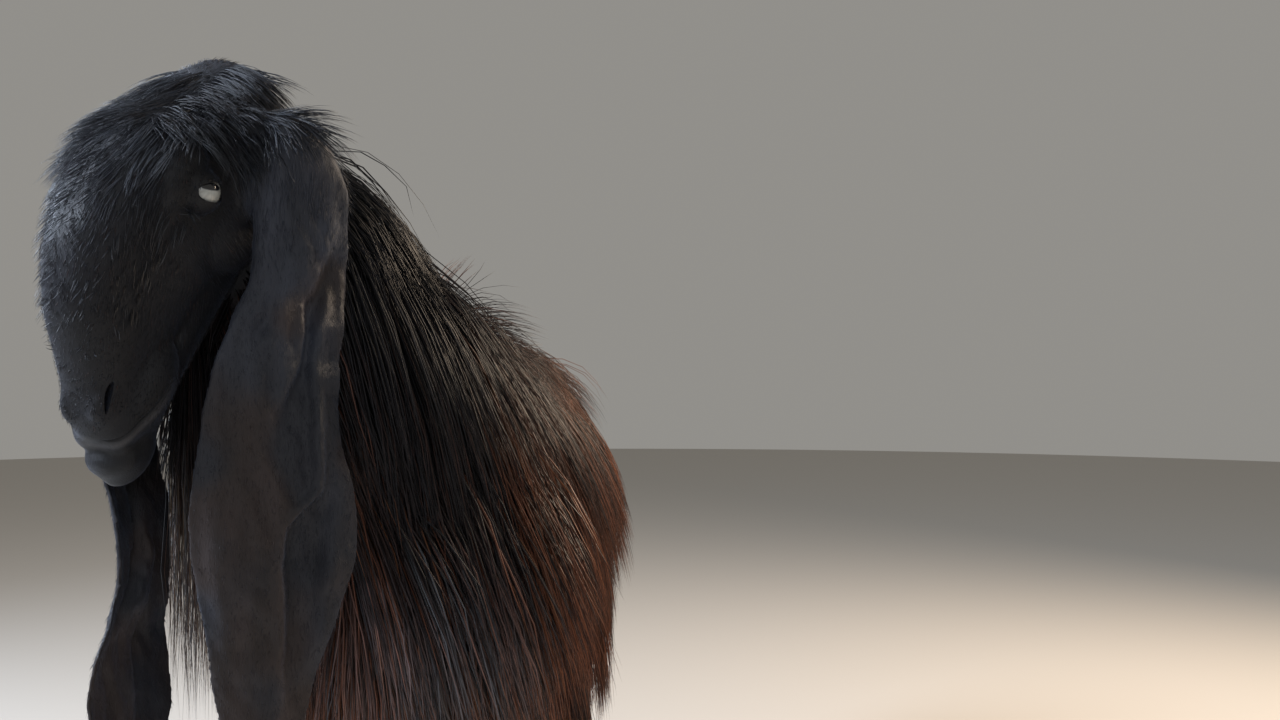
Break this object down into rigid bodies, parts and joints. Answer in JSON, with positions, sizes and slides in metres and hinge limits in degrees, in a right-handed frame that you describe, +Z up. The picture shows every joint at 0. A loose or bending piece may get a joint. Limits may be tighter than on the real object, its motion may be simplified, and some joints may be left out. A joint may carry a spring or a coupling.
{
  "type": "cyprus goat",
  "caption": "Life-size standing goat with a long glossy coat, a strongly arched nose and very long hanging ears; a still model without joints.",
  "frame": {"origin": "middle of the footprint of the whole part, on the floor the claws stand on", "axes": "+Z up, -Y the way the body faces, +X the goat's left side"},
  "size_m": [0.3886, 1.1638, 0.9442],
  "materials": {
    "coat": "long glossy hair",
    "face": "short glossy hair",
    "ear": "short hair over thin skin",
    "leg": "short hair",
    "hoof": "horn",
    "eye": "wet and glossy"
  },
  "bodies": {
    "root": {"torso": "coat", "neck": "coat", "head": "face", "tail": "coat", "leg_front_left": "leg", "leg_front_right": "leg", "leg_rear_left": "leg", "leg_rear_right": "leg", "ear_left": "ear", "eye_left": "eye", "ear_right": "ear", "eye_right": "eye", "claw_front_left_outer": "hoof", "claw_front_left_inner": "hoof", "claw_front_right_outer": "hoof", "claw_front_right_inner": "hoof", "claw_rear_left_outer": "hoof", "claw_rear_left_inner": "hoof", "claw_rear_right_outer": "hoof", "claw_rear_right_inner": "hoof"}
  },
  "joints": []
}
